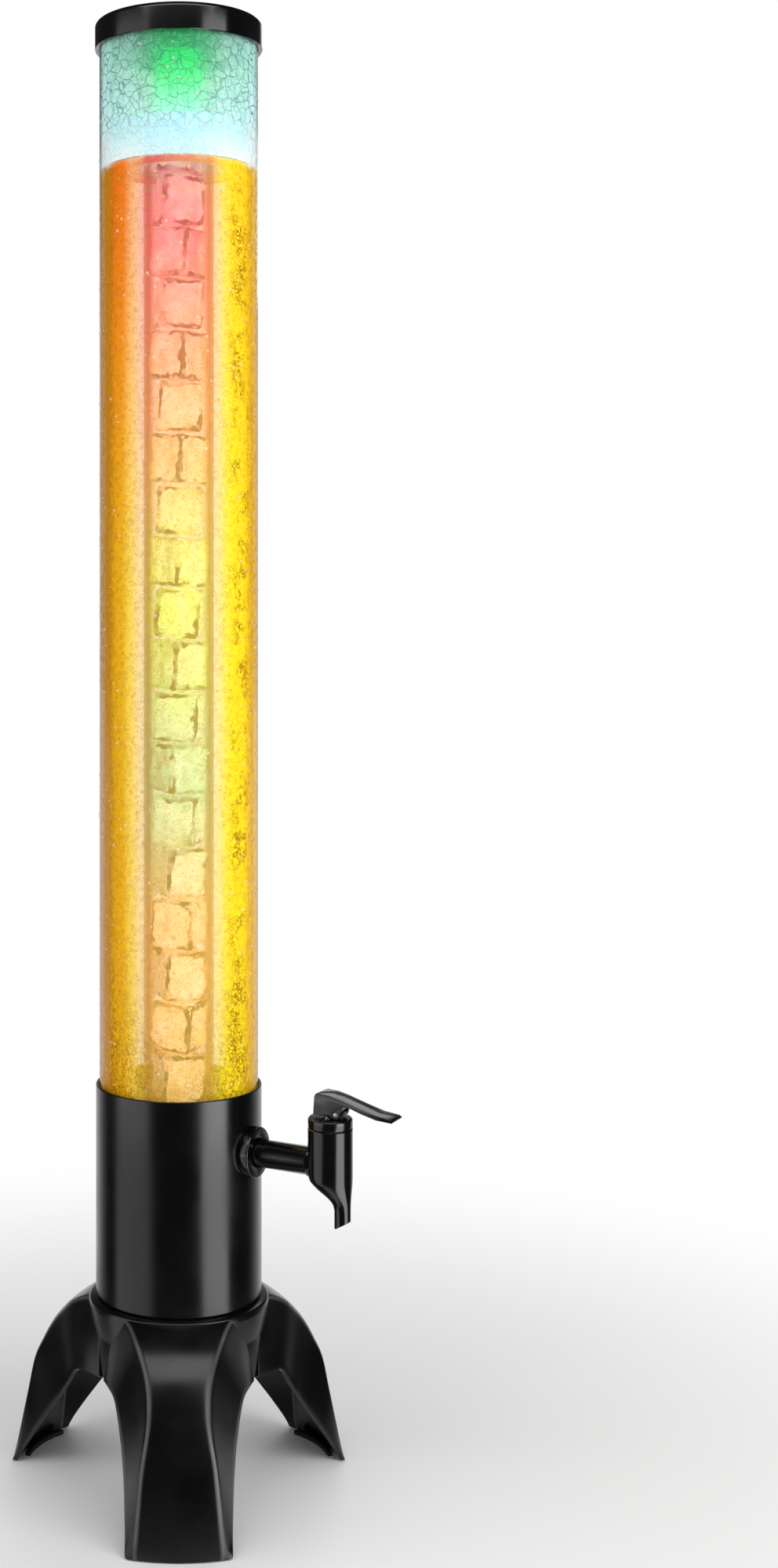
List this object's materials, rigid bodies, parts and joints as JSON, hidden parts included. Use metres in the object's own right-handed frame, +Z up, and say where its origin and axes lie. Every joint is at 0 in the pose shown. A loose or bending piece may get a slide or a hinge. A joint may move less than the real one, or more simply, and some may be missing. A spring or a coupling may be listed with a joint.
{
  "type": "beer tower dispenser",
  "caption": "Tall clear drink tower on a three-legged stand, with a lever tap, a lift-off lid and a lit ice tube hanging inside.",
  "frame": {"origin": "on the floor, midway between the hind leg's and the lever's furthest reach; the tower's axis stands 19.58 mm behind it, along -X", "axes": "+Z up along the tower, +X the way the tap points, XZ the plane of symmetry"},
  "size_m": [0.2608, 0.2152, 0.9189],
  "materials": {
    "black_plastic": "semi-gloss injection-moulded black",
    "black_rubber": "matt black rubber",
    "clear_plastic": "clear extruded plastic with condensation",
    "beer": "clear golden lager",
    "foam": "pale foam lit by the lamp",
    "ice": "clear ice with frosted faces",
    "steel": "bright stainless steel",
    "circuit_board": "green solder mask",
    "led": "lit green lamp"
  },
  "bodies": {
    "tower": {"base_stand": "black_plastic", "foot_pad_1": "black_rubber", "foot_pad_2": "black_rubber", "foot_pad_3": "black_rubber", "reservoir": "black_plastic", "tube_seal": "black_rubber", "main_tube": "clear_plastic", "beer": "beer", "foam_head": "foam", "tap_body": "black_plastic", "tap_collar": "black_plastic", "tap_washer": "black_rubber", "tap_nut": "black_plastic", "tap_bonnet": "black_plastic", "lever_pin": "steel"},
    "lever": {"tap_lever": "black_plastic"},
    "plunger": {"tap_stem": "steel", "tap_seat_cup": "black_rubber", "tap_spring": "steel"},
    "lid": {"lid": "black_plastic", "lid_seal": "black_rubber", "ice_tube_cap": "black_plastic", "ice_tube_upper_seal": "black_rubber", "battery_cover_seal": "black_rubber", "led_lens": "led", "led_chip": "led", "circuit_board": "circuit_board", "tactile_switch": "black_plastic", "battery_holder": "black_plastic", "coin_cell_1": "steel", "coin_cell_2": "steel", "coin_cell_3": "steel"},
    "ice_tube": {"ice_tube": "clear_plastic", "ice_tube_end_cap": "black_plastic", "ice_tube_lower_seal": "black_rubber", "ice_cube_01": "ice", "ice_cube_02": "ice", "ice_cube_03": "ice", "ice_cube_04": "ice", "ice_cube_05": "ice", "ice_cube_06": "ice", "ice_cube_07": "ice", "ice_cube_08": "ice", "ice_cube_09": "ice", "ice_cube_10": "ice", "ice_cube_11": "ice", "ice_cube_12": "ice", "ice_cube_13": "ice", "ice_cube_14": "ice", "ice_cube_15": "ice", "ice_cube_16": "ice", "ice_cube_17": "ice", "ice_cube_18": "ice", "ice_cube_19": "ice", "ice_cube_20": "ice"},
    "battery_cover": {"battery_cover": "black_plastic"},
    "button": {"power_button": "black_rubber"}
  },
  "joints": [
    {"name": "lever_press", "type": "hinge", "parent": "tower", "child": "lever", "pos_m": [0.09262, 0, 0.2457], "axis": [0, 1, 0], "range_deg": [0, 18], "stiffness_Nm_per_rad": 0.5},
    {"name": "plunger_lift", "type": "slide", "parent": "tower", "child": "plunger", "axis": [0, 0, 1], "range_m": [0, 0.00205], "deforming": ["tap_spring"]},
    {"name": "lid_lift", "type": "slide", "parent": "tower", "child": "lid", "axis": [0, 0, 1], "range_m": [0, 0.72]},
    {"name": "ice_tube_twist", "type": "hinge", "parent": "lid", "child": "ice_tube", "pos_m": [-0.01958, 0, 0.9], "axis": [0, 0, 1], "range_deg": [0, 90]},
    {"name": "battery_cover_turn", "type": "hinge", "parent": "lid", "child": "battery_cover", "pos_m": [-0.01958, 0, 0.917], "axis": [0, 0, 1], "range_deg": [0, 60]},
    {"name": "button_press", "type": "slide", "parent": "battery_cover", "child": "button", "axis": [0, 0, -1], "range_m": [0, 0.0012], "stiffness_N_per_m": 300}
  ],
  "couplings": [
    {"joint": "plunger_lift", "follows": "lever_press", "m_per_rad": 0.0065}
  ]
}
